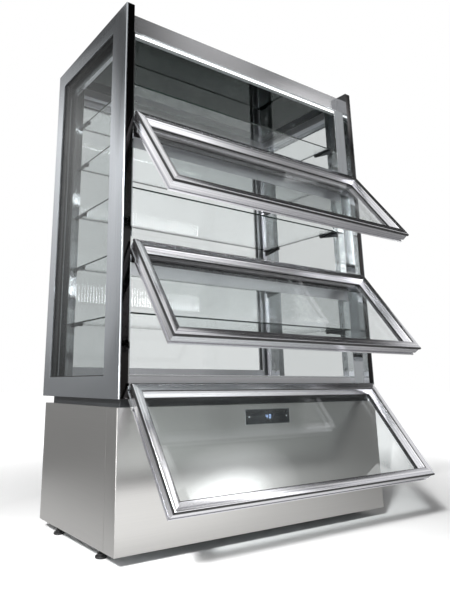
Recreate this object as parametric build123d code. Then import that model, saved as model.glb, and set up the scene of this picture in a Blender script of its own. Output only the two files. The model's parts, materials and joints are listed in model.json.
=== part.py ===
from build123d import *
import os
from math import cos, radians, sin

# Refrigerated display case: a stainless base that holds the cooling unit, and a glazed
# cabinet above it with three front flaps that tip forward on pins near their lower edge.
# X runs across the case and Z up from the floor. While a piece is built, Y runs back
# from the front of the base; every piece is moved to the shared origin as it is saved.

# Overall sizes, mm
case_width = 1250
floor_clearance = 38
base_height = 420
base_depth = 595
neck_height = 25
cabinet_height = 1422
front_overhang = 6
rear_overhang = 35

# Sheet thickness, clearances, and how far a cutting block reaches past the face it cuts
sheet = 1.5
seat_gap = 0.3
overcut = 1
running_clearance = 0.05

# Side frames, their linings and the fins in front of them
side_depth = 33.4
skin_depth = 6
skin_bevel = 2.5
front_stile = 106
rear_stile = 60
top_rail = 70
bottom_rail = 71
lining_front = 109
lining_rear = 66
lining_drop = 55
lining_lap = 2
fin_wall = 3
fin_cap = 3

# Sealed glass units in the sides, the rear and the flaps
pane = 4
side_unit = 24
rear_unit = 20
glass_overlap = 12
spacer_width = 12

# Front posts and slotted standards
post_width = 32.6
post_depth = 29.5
post_wall = 2
jamb_gap = 1.5
front_standard_depth = 30
rear_standard_depth = 65
rear_standard_setback = 132
standard_wall = 2.5
slot_height = 14
slot_width = 5
slot_pitch = 48

# Flaps and their pins
flap_count = 3
flap_length = 404.5
flap_thickness = 48
flap_side_gap = 4.1
flap_pitch = 465.9
flap_foot_gap = 9
open_angle = 144
pivot_setback = 7.3
pivot_rise = 8.1
strap_length = 60
strap_width = 12
strap_thickness = 2.5
pin_radius = 4
pin_tail = 4
stop_radius = 2.5
stop_offset = 8.2
stop_gap = 0.5

# Section of the flap frame: widths run in from the outer edge, depths out from the inner face
frame_width = 36
inner_flat = 25
joint_width = 1.2
joint_depth = 2
bead_land = 0.6
bead_step = 30.5
bead_step_depth = 13
bead_depth = 25
pocket_floor = 18
lip_width = 24
lip_depth = 1.7
edge_break = 1
seal_channel = (2, 10)
seal_channel_depth = 4
seal_reach = 3
edge_groove = (34, 42)
edge_groove_depth = 5
chamber = (7, 16)
chamber_depths = (3, 39)
gasket_thickness = 3
gasket_reveal = 1.5

# Head of the cabinet
roof_gap = 3
fascia_height = 70
ceiling_drop = 57
ceiling_sheet = 3
light_depth = 24
light_height = 18
light_round = 3
lens_height = 10
lens_step = 3
strip_depth = 8
strip_height = 14
strip_bevel = 4
strip_drop = 2
strip_inset = 40
head_rail_height = 40
head_rail_depth = 26
rail_wall = 2

# Rails below and between the flaps
sill_depth = 31.5
deck_rise = 77
deck_sheet = 6
transom_height = 60
transom_drop = 26
lip_sheet = 2.5
lip_lap = 7

# Rear wall
rear_rail_height = 29
rear_frame_width = 21
rear_frame_depth = 54
sash_width = 42
sash_depth = 30
sash_setback = 10
sash_bead = 4

# Shelves, arms and deck vents
shelf_rises = (209, 438, 664, 885, 1080)
shelf_glass = 6
shelf_side_gap = 75
shelf_front = 84
shelf_rear_lap = 15
arm_ledge = 20
arm_sheet = 3
arm_height = 24
arm_tip = 9
front_arm = 71
rear_arm = 43
vent_length = 60
vent_width = 8
vent_pitch = 80
vent_inset = 34
arm_clearance = 2

# Base casing and feet
panel_wrap = 69
panel_seam = 1
panel_flange = 22
fold_radius = 3
tray_lip = 18
neck_front = 20
neck_setback = 32
neck_side_gap = 20
grille_slot_length = 150
grille_slot_height = 7
grille_pitch = 26
grille_column_pitch = 330
grille_margin = 62
hood_depth = 6
foot_inset = 36
foot_front = 152
foot_setback = 103
foot_radius = 19
foot_pad = 14
foot_neck = 8
foot_flange = 13
foot_flange_height = 6

# Control panel
control_width = 214
control_height = 50
control_drop = 44
control_glass = 3
housing_width = 180
housing_height = 40
housing_depth = 38
display_width = 58
display_height = 26
display_depth = 1

# Cold tub under the deck
tub_side_gap = 3
tub_front = 78
tub_setback = 45
tub_depth = 222
tub_wall = 20
drain_radius = 9

# Evaporator and its two fans
coil_width = 880
coil_depth = 110
coil_gap = 26
coil_height = 150
coil_fin_count = 30
coil_row_count = 3
fin_groove = 5
coil_end = 4
tube_radius = 5
tube_flat_count = 8
fan_plate_sheet = 1.5
fan_plate_setback = 170
fan_spacing = 460
evaporator_fan_radius = 58
evaporator_hub_radius = 17
evaporator_blade_chord = 29

# Condensing unit in the base
condenser_width = 330
condenser_height = 230
condenser_depth = 66
condenser_inset = 325
condenser_setback = 30
condenser_foot = 8
condenser_fin_count = 20
condenser_row_count = 4
shroud_depth = 30
condenser_fan_radius = 92
condenser_hub_radius = 24
condenser_blade_chord = 46
compressor_x = 150
compressor_setback = 265
compressor_radius = 82
compressor_height = 178
compressor_dome = 34
dome_step_count = 3
compressor_plate_width = 210
compressor_plate_depth = 170
terminal_box = 60
mount_radius = 11
mount_height = 20
pan_width = 240
pan_depth = 190
pan_height = 42
pan_inset = 185
pan_setback = 275
drain_dip = 10

# Fans
fan_clearance = 5
blade_count = 5
blade_sheet = 2
blade_angle = 32
blade_root = 8
rotor_depth = 22
rotor_gap = 1
motor_bar_width = 14
motor_bar_sheet = 3
motor_length = 42
motor_radius = 26
shaft_radius = 3

# Refrigerant pipes and cable gland
pipe_radius = 4
suction_radius = 6
pipe_bend = 16
pipe_inset = 12
gland_radius = 11
gland_thread = 7
gland_nut = 8
gland_bore = 4.6
gland_inset = 65
gland_rise = 58

# Planes and levels worked out from the sizes above
half_width = case_width / 2
base_top = floor_clearance + base_height
cabinet_foot = base_top + neck_height
cabinet_top = cabinet_foot + cabinet_height
cabinet_front = -front_overhang
cabinet_rear = base_depth + rear_overhang
rear_plane = cabinet_rear - sheet
roof_top = cabinet_top - roof_gap
fascia_foot = roof_top - fascia_height
ceiling_level = roof_top - ceiling_drop
ceiling_top = ceiling_level + ceiling_sheet
jamb = cabinet_front + flap_thickness + jamb_gap
post_rear = jamb + post_depth
post_line = side_depth + post_width
flap_width = case_width - 2 * (side_depth + flap_side_gap)
pivot_y = cabinet_front + pivot_setback
pivot_inward = flap_thickness - pivot_setback
pivot_levels = [cabinet_foot + flap_foot_gap + pivot_rise + flap_pitch * n for n in range(flap_count)]
deck_level = cabinet_foot + deck_rise
deck_foot = deck_level - deck_sheet
shelf_levels = [deck_level + rise for rise in shelf_rises]
sill_rear = jamb + sill_depth
floor_inside = floor_clearance + 2 * sheet
control_level = base_top - control_drop
tub_half = half_width - post_line - tub_side_gap
tub_rear = base_depth - tub_setback
tub_floor_level = deck_foot - tub_depth
tub_inside = tub_floor_level + tub_wall
neck_rear = base_depth - neck_setback
foot_rear = base_depth - foot_setback
base_rear = base_depth - sheet
front_standard = (post_rear, post_rear + front_standard_depth)
rear_standard_front = cabinet_rear - rear_standard_setback
rear_standard = (rear_standard_front, rear_standard_front + rear_standard_depth)
shelf_rear = rear_standard[1] - shelf_rear_lap
opening = radians(open_angle)
open_reach = (flap_length - pivot_rise) * sin(opening) - pivot_inward * cos(opening) - pivot_y
footprint_centre = (cabinet_rear - open_reach) / 2


def side(depth):
    return half_width - depth


# Span in X between two depths measured in from the right-hand face of the case
def across(outer, inner):
    return (side(inner), side(outer))


def wide(half):
    return (-half, half)


def about(middle, half):
    return (middle - half, middle + half)


def grown(span, amount):
    return (span[0] - amount, span[1] + amount)


def block(x, y, z):
    centre = Pos((x[0] + x[1]) / 2, (y[0] + y[1]) / 2, (z[0] + z[1]) / 2)
    return centre * Box(x[1] - x[0], y[1] - y[0], z[1] - z[0])


def rod(start, end, radius):
    run = Vector(*end) - Vector(*start)
    return extrude(Plane(origin=start, z_dir=run) * Circle(radius), run.length)


def prism(points, run):
    return extrude(make_face(Polyline(*points, close=True)), abs(Vector(*run)), dir=run)


def both_sides(shapes):
    return shapes + [mirror(shape, about=Plane.YZ) for shape in shapes]


def save(name, shapes):
    solids = [solid for shape in shapes for solid in shape.solids()]
    placed = [Pos(0, -footprint_centre, 0) * solid for solid in solids]
    export_step(Compound(label=name, children=placed), f"parts/{name}.step")


# Side frame: a folded skin with a window, and returns that give the frame its depth
window_y = (cabinet_front + front_stile, cabinet_rear - rear_stile)
window_z = (cabinet_foot + bottom_rail, cabinet_top - top_rail)
frame_height = (cabinet_foot, cabinet_top)


def side_frame():
    nose = block(across(0, skin_depth), (cabinet_front, cabinet_front + skin_depth), frame_height)
    corner = nose.edges().filter_by(Axis.Z).sort_by(Axis.Y)[:2].sort_by(Axis.X)[-1]
    nose = chamfer(corner, skin_bevel)
    skin = block(across(0, sheet), (cabinet_front + skin_depth, cabinet_rear), frame_height)
    skin -= block(across(-overcut, sheet + overcut), window_y, window_z)
    rear_fold = block(across(0, side_depth), (rear_plane, cabinet_rear), frame_height)
    top_fold = block(across(0, side_depth), (jamb, cabinet_rear), (cabinet_top - sheet, cabinet_top))
    foot_fold = block(across(0, side_depth), (jamb, cabinet_rear), (cabinet_foot, cabinet_foot + sheet))
    reveal = block(across(0, skin_depth), grown(window_y, sheet), grown(window_z, sheet))
    reveal -= block(across(-overcut, skin_depth + overcut), window_y, window_z)
    return nose + skin + rear_fold + top_fold + foot_fold + reveal


# Side glass: two panes held apart by a spacer, behind the window of the frame
unit_outer = skin_depth + seat_gap
unit_inner = unit_outer + side_unit
unit_y = grown(window_y, glass_overlap)
unit_z = grown(window_z, glass_overlap)


def side_panes():
    outer = block(across(unit_outer, unit_outer + pane), unit_y, unit_z)
    inner = block(across(unit_inner - pane, unit_inner), unit_y, unit_z)
    return [outer, inner]


def side_spacer():
    depth = across(unit_outer + pane, unit_inner - pane)
    ring = block(depth, unit_y, unit_z)
    return ring - block(grown(depth, overcut), grown(unit_y, -spacer_width), grown(unit_z, -spacer_width))


def side_lining():
    depth = across(unit_inner, side_depth)
    plate = block(depth, (jamb, rear_plane), (cabinet_foot + sheet, ceiling_level))
    opening_y = (cabinet_front + lining_front, cabinet_rear - lining_rear)
    opening_z = (window_z[0] + lining_lap, window_z[1] - lining_drop)
    return plate - block(grown(depth, overcut), opening_y, opening_z)


# Fin: the hollow profile in front of each side frame. It carries the flap pins and, below
# each pin, the stop that the hinge strap comes down on when the flap is open
def stop_place():
    lean = radians(90 + open_angle)
    off = strap_width / 2 + stop_radius + seat_gap
    return (stop_offset * cos(lean) - off * sin(lean), stop_offset * sin(lean) + off * cos(lean))


def fin():
    x = across(skin_depth, side_depth)
    y = (cabinet_front, jamb)
    z = grown(frame_height, -fin_cap)
    face = side(side_depth)
    tube = block(x, y, z) - block(grown(x, -fin_wall), grown(y, -fin_wall), grown(z, overcut))
    stop_y, stop_z = stop_place()
    bore_radius = pin_radius + running_clearance
    bore_end = face + fin_wall + overcut
    for level in pivot_levels:
        tube -= rod((face - overcut, pivot_y, level), (bore_end, pivot_y, level), bore_radius)
        tube += rod((face - flap_side_gap + stop_gap, pivot_y + stop_y, level + stop_z),
                    (face + fin_wall, pivot_y + stop_y, level + stop_z), stop_radius)
    return [tube, block(x, y, (cabinet_foot, z[0])), block(x, y, (z[1], cabinet_top))]


# Posts, slotted standards and the rails round the ceiling
def front_post():
    x = across(side_depth, post_line)
    y = (jamb, post_rear)
    z = (cabinet_foot, fascia_foot)
    return block(x, y, z) - block(grown(x, -post_wall), grown(y, -post_wall), grown(z, overcut))


def standard(y, top):
    x = across(side_depth, post_line)
    z = (cabinet_foot, top)
    bar = block(x, y, z) - block(grown(x, -standard_wall), grown(y, -standard_wall), grown(z, overcut))
    face = grown((side(post_line), side(post_line) + standard_wall), overcut)
    count = int((top - deck_level) / slot_pitch)
    feet = [deck_level + slot_pitch * (n + 0.5) for n in range(count)]
    slots = [block(face, about(sum(y) / 2, slot_width / 2), (level, level + slot_height)) for level in feet]
    return bar - slots


rear_frame_y = (rear_plane - rear_frame_depth, rear_plane)
head_rail_z = (ceiling_level - head_rail_height, ceiling_level)


def hollow_rail(x, y, z, open_axis):
    inside = [grown(span, -rail_wall) for span in (x, y, z)]
    inside[open_axis] = grown((x, y, z)[open_axis], overcut)
    return block(x, y, z) - block(*inside)


def head_rails():
    sides = both_sides([
        hollow_rail(across(side_depth, post_line), (front_standard[1], rear_frame_y[0]), head_rail_z, 1)
    ])
    rear_y = (rear_frame_y[0] - head_rail_depth, rear_frame_y[0])
    return sides + [hollow_rail(wide(side(post_line)), rear_y, head_rail_z, 0)]


# Flap pieces lie flat while they are built: X across, Y from the pin edge to the free
# edge, Z from the inner face out. opened() stands them on their pins in the cabinet
frame_section = [
    (0, flap_thickness),
    (0, edge_groove[1]),
    (edge_groove_depth, edge_groove[1]),
    (edge_groove_depth, edge_groove[0]),
    (0, edge_groove[0]),
    (0, seal_channel[1]),
    (seal_channel_depth, seal_channel[1]),
    (seal_channel_depth, seal_channel[0]),
    (0, seal_channel[0]),
    (0, edge_break),
    (edge_break, 0),
    (inner_flat, 0),
    (inner_flat, joint_depth),
    (inner_flat + joint_width, joint_depth),
    (inner_flat + joint_width, bead_land),
    (bead_step, bead_step_depth),
    (frame_width, bead_depth),
    (pocket_floor, bead_depth),
    (pocket_floor, flap_thickness - lip_depth),
    (lip_width, flap_thickness - lip_depth),
    (lip_width, flap_thickness),
]


def mitred_bar(length):
    half = length / 2
    section = make_face(Plane.YZ * Polyline(*frame_section, close=True))
    bar = extrude(section, half, both=True) - block(grown(wide(half), overcut), chamber, chamber_depths)
    mitre = [(-half, 0), (half, 0), (half - frame_width, frame_width), (frame_width - half, frame_width)]
    return bar & extrude(make_face(Polyline(*mitre, close=True)), flap_thickness)


def flap_frame():
    rail = Pos(0, -flap_length / 2, 0) * mitred_bar(flap_width)
    stile = Pos(0, -flap_width / 2, 0) * mitred_bar(flap_length)
    return [rail, Rot(0, 0, 180) * rail, Rot(0, 0, 90) * stile, Rot(0, 0, -90) * stile]


def flat_plate(inset, z):
    return block(wide(flap_width / 2 - inset), wide(flap_length / 2 - inset), z)


def flat_ring(outer, inner, z):
    return flat_plate(outer, z) - flat_plate(inner, grown(z, overcut))


unit_inset = pocket_floor + seat_gap
inner_pane_foot = bead_depth + gasket_thickness
outer_pane_face = flap_thickness - lip_depth


def flap_panes():
    inner = flat_plate(unit_inset, (inner_pane_foot, inner_pane_foot + pane))
    outer = flat_plate(unit_inset, (outer_pane_face - pane, outer_pane_face))
    return [inner, outer]


def flap_gasket():
    strip = flat_ring(unit_inset, frame_width + gasket_reveal, (bead_depth, inner_pane_foot))
    cavity = (inner_pane_foot + pane, outer_pane_face - pane)
    return [strip, flat_ring(unit_inset, unit_inset + spacer_width, cavity)]


def flap_seal():
    return [flat_ring(-seal_reach, seal_channel_depth, seal_channel)]


def hinge_strap():
    pin_line = pivot_rise - flap_length / 2
    face = flap_width / 2
    outer = face + strap_thickness
    strap = block((face, outer), (pin_line, pin_line + strap_length), about(pivot_inward, strap_width / 2))
    strap += rod((face, pin_line, pivot_inward), (outer, pin_line, pivot_inward), strap_width / 2)
    tail = face + flap_side_gap + fin_wall + pin_tail
    return strap + rod((face, pin_line, pivot_inward), (tail, pin_line, pivot_inward), pin_radius)


def opened(shape, level):
    closed = Pos(0, pivot_inward, flap_length / 2 - pivot_rise) * Rot(90, 0, 0)
    return Pos(0, pivot_y, level) * Rot(open_angle, 0, 0) * closed * shape


# Sill under the lower flap, transoms behind the gaps between the flaps, and the lips
# under the transoms that the free edges close against
rail_x = wide(side(post_line))


def sill():
    return hollow_rail(rail_x, (jamb, sill_rear), (cabinet_foot, deck_foot), 0)


def transom(level):
    foot = level - pivot_rise - transom_drop
    return hollow_rail(rail_x, (jamb, sill_rear), (foot, foot + transom_height), 0)


def transom_lip(level):
    top = level - pivot_rise - transom_drop
    free_edge = level - flap_pitch - pivot_rise + flap_length
    upright = block(rail_x, (jamb, jamb + lip_sheet), (free_edge - lip_lap, top))
    return upright + block(rail_x, (jamb, sill_rear), (top - lip_sheet, top))


# Rear wall: a foot rail and an outer frame, with a glazed sash inside it
rear_foot_y = (rear_standard[1] + seat_gap, rear_plane)
sash_y = (rear_frame_y[0] + sash_setback, rear_frame_y[0] + sash_setback + sash_depth)
sash_z = (deck_foot, ceiling_top - rear_rail_height)
sash_half = side(side_depth + rear_frame_width)
daylight_half = sash_half - sash_width
daylight_z = grown(sash_z, -sash_width)
rear_pane_y = (sash_y[0] + sash_bead, sash_y[0] + sash_bead + rear_unit)


def rear_frame():
    ring = block(wide(side(side_depth)), rear_frame_y, (deck_foot, ceiling_top))
    ring -= block(wide(sash_half), grown(rear_frame_y, overcut), (deck_foot - overcut, sash_z[1]))
    return [ring, hollow_rail(wide(side(side_depth)), rear_foot_y, (cabinet_foot, deck_foot), 0)]


def rear_sash():
    ring = block(wide(sash_half), sash_y, sash_z)
    ring -= block(wide(daylight_half), grown(sash_y, overcut), daylight_z)
    return ring - block(wide(daylight_half + glass_overlap), rear_pane_y, grown(daylight_z, glass_overlap))


rear_unit_half = daylight_half + glass_overlap - seat_gap
rear_unit_z = grown(daylight_z, glass_overlap - seat_gap)


def rear_panes():
    inner = (rear_pane_y[0], rear_pane_y[0] + pane)
    outer = (rear_pane_y[1] - pane, rear_pane_y[1])
    return [block(wide(rear_unit_half), y, rear_unit_z) for y in (inner, outer)]


def rear_spacer():
    y = grown(rear_pane_y, -pane)
    ring = block(wide(rear_unit_half), y, rear_unit_z)
    cavity = grown(rear_unit_z, -spacer_width)
    return ring - block(wide(rear_unit_half - spacer_width), grown(y, overcut), cavity)


# Head of the cabinet: roof pan, ceiling, folded fascia and the light bar under it, which
# has a clear lens band above its opal foot
def roof_panel():
    x = wide(side(side_depth))
    y = (jamb + sheet, rear_plane)
    inside = block(grown(x, -sheet), grown(y, -sheet), (ceiling_top - overcut, roof_top - sheet))
    return block(x, y, (ceiling_top, roof_top)) - inside


def ceiling_panel():
    return block(wide(side(side_depth)), (post_rear, rear_frame_y[0]), (ceiling_level, ceiling_top))


def fascia():
    x = wide(side(side_depth))
    plate = block(x, (jamb, jamb + sheet), (fascia_foot, roof_top))
    fold = block(x, (jamb, post_rear), (fascia_foot, fascia_foot + sheet))
    upstand = block(x, (post_rear - sheet, post_rear), (fascia_foot, ceiling_top))
    return plate + fold + upstand


def light_bar():
    lens_foot = fascia_foot - lens_height
    lens = block(rail_x, (jamb + lens_step, jamb + light_depth), (lens_foot, fascia_foot))
    bar = block(rail_x, (jamb, jamb + light_depth), (fascia_foot - light_height, lens_foot))
    lower = bar.edges().filter_by(Axis.X).sort_by(Axis.Z)[:2]
    return lens + fillet(lower, light_round)


# Slim light strip behind a transom, with a slanted face towards the bay below
def light_strip(level):
    top = level - pivot_rise - transom_drop + transom_height - strip_drop
    x = wide(side(post_line + strip_inset))
    strip = block(x, (sill_rear, sill_rear + strip_depth), (top - strip_height, top))
    lower_rear = strip.edges().filter_by(Axis.X).group_by(Axis.Z)[0].sort_by(Axis.Y)[-1]
    return chamfer(lower_rear, strip_bevel)


# Shelves on arms that hook into the standards, and the vented deck
def shelf(level):
    return block(wide(half_width - shelf_side_gap), (shelf_front, shelf_rear), (level - shelf_glass, level))


def arm(root, reach, level):
    inner = side(post_line)
    top = level - shelf_glass
    outline = [
        (inner, root, top), (inner, reach, top),
        (inner, reach, top - arm_tip), (inner, root, top - arm_height)
    ]
    web = prism(outline, (-arm_sheet, 0, 0))
    return web + block((inner - arm_ledge, inner), sorted((root, reach)), (top - arm_sheet, top))


def shelf_arms(level):
    front = arm(sill_rear + arm_clearance, front_standard[1] + front_arm, level)
    return both_sides([front, arm(rear_standard[1], rear_standard[0] - rear_arm, level)])


def deck():
    thickness = (deck_foot, deck_level)
    plate = block(rail_x, (jamb, rear_frame_y[0]), thickness)
    vent_count = int(2 * tub_half / vent_pitch)
    first = -vent_pitch * (vent_count - 1) / 2
    rows = (tub_front + vent_inset, tub_rear - vent_inset)
    middles = [(first + vent_pitch * n, row) for n in range(vent_count) for row in rows]
    cut = grown(thickness, overcut)
    return plate - [block(about(x, vent_length / 2), about(y, vent_width / 2), cut) for x, y in middles]


# Base casing: front panel folded round both corners, side panels, tray, cover and neck
panel_z = (floor_clearance, base_top)


def front_edges(shape):
    return shape.edges().filter_by(Axis.Z).group_by(Axis.Y)[0]


def front_panel():
    outer = block(wide(half_width), (0, panel_wrap), panel_z)
    inner = block(wide(half_width - sheet), (sheet, panel_wrap + sheet), grown(panel_z, overcut))
    shell = fillet(front_edges(outer), fold_radius) - fillet(front_edges(inner), fold_radius - sheet)
    opening_z = about(control_level, housing_height / 2 + seat_gap)
    return shell - block(wide(housing_width / 2 + seat_gap), (-overcut, sheet + overcut), opening_z)


def side_panel():
    y = (panel_wrap + panel_seam, base_depth)
    plate = block(across(0, sheet), y, panel_z)
    foot_fold = block(across(0, panel_flange), (y[0], base_rear), (floor_clearance, floor_clearance + sheet))
    rear_fold = block(across(0, panel_flange), (base_rear - sheet, base_rear), panel_z)
    return plate + foot_fold + rear_fold


inside_x = wide(side(sheet))
inside_y = (sheet, base_rear - sheet)


# Plate that fills the casing from side to side, with its front corners inside the folds
def inside_plate(z):
    plate = block(inside_x, inside_y, z)
    return fillet(front_edges(plate), fold_radius - sheet)


def base_tray():
    z = (floor_clearance + sheet, floor_clearance + sheet + tray_lip)
    inside_z = (floor_inside, z[1] + overcut)
    return inside_plate(z) - block(grown(inside_x, -sheet), grown(inside_y, -sheet), inside_z)


def tub_opening(z):
    return block(wide(tub_half + seat_gap), grown((tub_front, tub_rear), seat_gap), grown(z, overcut))


def base_cover():
    z = (base_top - sheet, base_top)
    return inside_plate(z) - tub_opening(z)


def neck():
    z = (base_top, cabinet_foot)
    return block(wide(side(neck_side_gap)), (neck_front, neck_rear), z) - tub_opening(z)


gland_x = side(gland_inset)
gland_level = floor_clearance + gland_rise


def rear_grille():
    y = (base_rear, base_depth)
    plate = block(inside_x, y, panel_z)
    columns = int(case_width / grille_column_pitch)
    rows = int((base_height - 2 * grille_margin) / grille_pitch)
    slots = []
    hoods = []
    for column in range(columns):
        x = about((column - (columns - 1) / 2) * grille_column_pitch, grille_slot_length / 2)
        for row in range(rows):
            foot = floor_clearance + grille_margin + grille_pitch * row
            top = foot + grille_slot_height
            slots.append(block(x, grown(y, overcut), (foot, top)))
            outline = [(x[0], y[1], top), (x[0], y[1] + hood_depth, top), (x[0], y[1], top + hood_depth)]
            hoods.append(prism(outline, (grille_slot_length, 0, 0)))
    hole = rod((gland_x, y[0] - overcut, gland_level), (gland_x, y[1] + overcut, gland_level), gland_thread)
    return plate - slots - hole + hoods


def cable_gland():
    inner = base_rear - gland_nut
    outer = base_depth + 2 * gland_nut
    body = rod((gland_x, inner, gland_level), (gland_x, outer, gland_level), gland_thread)
    bore = rod((gland_x, inner - overcut, gland_level), (gland_x, outer + overcut, gland_level), gland_bore)
    hexagon = RegularPolygon(gland_radius, 6)
    outside = Plane(origin=(gland_x, base_depth, gland_level), z_dir=(0, 1, 0))
    inside = Plane(origin=(gland_x, base_rear, gland_level), z_dir=(0, -1, 0))
    nut = extrude(outside * hexagon, gland_nut)
    lock = extrude(inside * hexagon, gland_nut / 2)
    return body + nut + lock - bore


def foot():
    top = floor_clearance + sheet
    flange = top - foot_flange_height
    outline = [
        (0, 0, 0), (foot_radius, 0, 0), (foot_radius, 0, foot_pad / 2), (foot_neck, 0, foot_pad),
        (foot_neck, 0, flange), (foot_flange, 0, flange), (foot_flange, 0, top), (0, 0, top)
    ]
    return revolve(make_face(Polyline(*outline, close=True)), Axis.Z)


def feet():
    offset = side(foot_inset)
    return [Pos(x, y, 0) * foot() for x in (-offset, offset) for y in (foot_front, foot_rear)]


# Control panel: black glass on the front, a housing behind it and a lit display
def control_panel():
    glass = block(wide(control_width / 2), (-control_glass, 0), about(control_level, control_height / 2))
    housing = block(wide(housing_width / 2), (0, housing_depth), about(control_level, housing_height / 2))
    return glass + housing - control_display()


def control_display():
    y = (-control_glass, display_depth - control_glass)
    return block(wide(display_width / 2), y, about(control_level, display_height / 2))


# Cold tub with the evaporator, its fans and the drain
pan_x = side(pan_inset)
pan_y = base_depth - pan_setback
tub_inner_y = (tub_front + tub_wall, tub_rear - tub_wall)
fan_plate_y = tub_inner_y[0] + fan_plate_setback
fan_level = (tub_inside + deck_foot) / 2
fan_places = (-fan_spacing / 2, fan_spacing / 2)
coil_front = fan_plate_y + motor_length + coil_gap
coil_y = (coil_front, coil_front + coil_depth)
coil_z = (tub_inside, tub_inside + coil_height)


def tub():
    shell = block(wide(tub_half), (tub_front, tub_rear), (tub_floor_level, deck_foot))
    shell -= block(wide(tub_half - tub_wall), tub_inner_y, (tub_inside, deck_foot + overcut))
    drain_z = grown((tub_floor_level, tub_inside), overcut)
    return shell - rod((pan_x, pan_y, drain_z[0]), (pan_x, pan_y, drain_z[1]), drain_radius)


def fan_plate():
    y = (fan_plate_y, fan_plate_y + fan_plate_sheet)
    plate = block(wide(tub_half - tub_wall), y, (tub_inside, deck_foot))
    front, rear = grown(y, overcut)
    radius = evaporator_fan_radius + fan_clearance
    openings = [rod((x, front, fan_level), (x, rear, fan_level), radius) for x in fan_places]
    return plate - openings


# A coil is a finned core with grooves between the fins, end plates and return bends, which
# are drawn with flats because the coils sit out of sight
def finned_core(width, y, z, fins):
    pitch = width / fins
    grooves = []
    for n in range(fins - 1):
        x = about(pitch * (n + 1) - width / 2, pitch / 4)
        grooves.append(block(x, (y[0] - overcut, y[0] + fin_groove), grown(z, overcut)))
        grooves.append(block(x, (y[1] - fin_groove, y[1] + overcut), grown(z, overcut)))
    return block(wide(width / 2), y, z) - grooves


def return_bends(end, y, z, rows):
    pitch = (z[1] - z[0]) / (2 * rows)
    middle = sum(y) / 2
    bends = []
    for row in range(rows):
        low = z[0] + pitch * (2 * row + 0.5)
        tube = Plane(origin=(end, middle, low), z_dir=(1, 0, 0)) * RegularPolygon(tube_radius, tube_flat_count)
        bends.append(revolve(tube, Axis((end, middle, low + pitch / 2), (0, -1, 0)), 180))
    return bends


def coil(width, y, z, fins, rows):
    half = width / 2
    plates = [block((x, x + coil_end), y, z) for x in (-half - coil_end, half)]
    return [finned_core(width, y, z, fins)] + plates + return_bends(half + coil_end, y, z, rows)


# Fans turn on the shaft of a motor that hangs on a bar across the opening
def rotor(radius, hub, chord):
    root = hub - blade_root
    wheel = Pos(0, 0, rotor_depth / 2) * Cylinder(hub, rotor_depth)
    disc = Pos(0, 0, rotor_depth / 2) * Cylinder(radius, rotor_depth)
    blade = Pos((radius + root) / 2, 0, rotor_depth / 2) * Rot(blade_angle, 0, 0) * Box(
        radius - root, chord, blade_sheet
    )
    for n in range(blade_count):
        wheel += (Rot(0, 0, 360 / blade_count * n) * blade) & disc
    bore = Pos(0, 0, rotor_depth / 2) * Cylinder(shaft_radius + running_clearance, 2 * rotor_depth)
    return Pos(0, 0, rotor_gap) * (wheel - bore)


def motor(radius):
    bar_length = 2 * (radius + fan_clearance + motor_bar_width)
    bar = block(wide(bar_length / 2), wide(motor_bar_width / 2), (-motor_bar_sheet, 0))
    can = rod((0, 0, -motor_bar_sheet - motor_length), (0, 0, -motor_bar_sheet), motor_radius)
    return bar + can + rod((0, 0, 0), (0, 0, rotor_gap + rotor_depth), shaft_radius)


evaporator_fan_y = fan_plate_y + fan_plate_sheet


def evaporator_place(x):
    return Pos(x, evaporator_fan_y, fan_level) * Rot(90, 0, 0)


# Condensing unit: coil in a shroud at the rear grille, its fan, and the compressor
condenser_x = -side(condenser_inset)
condenser_rear = base_rear - sheet - condenser_setback
condenser_y = (condenser_rear - condenser_depth, condenser_rear)
condenser_z = (floor_inside + condenser_foot, floor_inside + condenser_foot + condenser_height)
shroud_y = (condenser_y[0] - shroud_depth, condenser_y[0])
condenser_fan_level = sum(condenser_z) / 2
condenser_place = Pos(condenser_x, shroud_y[0], condenser_fan_level) * Rot(-90, 0, 0)


def condenser_shroud():
    x = about(condenser_x, condenser_width / 2 + coil_end)
    hood = block(x, shroud_y, condenser_z)
    hood -= block(grown(x, -sheet), (shroud_y[0] + sheet, shroud_y[1] + overcut), grown(condenser_z, -sheet))
    front, rear = grown((shroud_y[0], shroud_y[0] + sheet), overcut)
    radius = condenser_fan_radius + fan_clearance
    hood -= rod((condenser_x, front, condenser_fan_level), (condenser_x, rear, condenser_fan_level), radius)
    skids = [
        block((left, left + motor_bar_width), (shroud_y[0], condenser_y[1]), (floor_inside, condenser_z[0]))
        for left in (x[0], x[1] - motor_bar_width)
    ]
    return [hood] + skids


compressor_y = base_depth - compressor_setback
plate_foot = floor_inside + mount_height
can_foot = plate_foot + 2 * sheet
can_top = can_foot + compressor_height


# Half outline of the can from pole to pole, with a dome at each end
def can_outline():
    half = compressor_height / 2
    corner = compressor_radius - compressor_dome
    shoulder = half - compressor_dome
    turns = [radians(90 / dome_step_count * n) for n in range(dome_step_count + 1)]
    dome = [(corner + compressor_dome * cos(turn), shoulder + compressor_dome * sin(turn)) for turn in turns]
    upper = [(x, 0, z) for x, z in dome] + [(0, 0, half)]
    return [(x, 0, -z) for x, y, z in reversed(upper)] + upper


def compressor():
    middle = (can_foot + can_top) / 2
    place = Pos(compressor_x, compressor_y, middle)
    can = place * revolve(make_face(Polyline(*can_outline(), close=True)), Axis.Z)
    seam = place * Cylinder(compressor_radius + 2 * sheet, 2 * sheet)
    plate_x = about(compressor_x, compressor_plate_width / 2)
    plate = block(plate_x, about(compressor_y, compressor_plate_depth / 2), (plate_foot, can_foot))
    box_x = (compressor_x, compressor_x + compressor_radius + terminal_box / 2)
    box = block(box_x, about(compressor_y, terminal_box / 2), (middle + 2 * sheet, middle + terminal_box))
    return can + seam + plate + box


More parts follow.
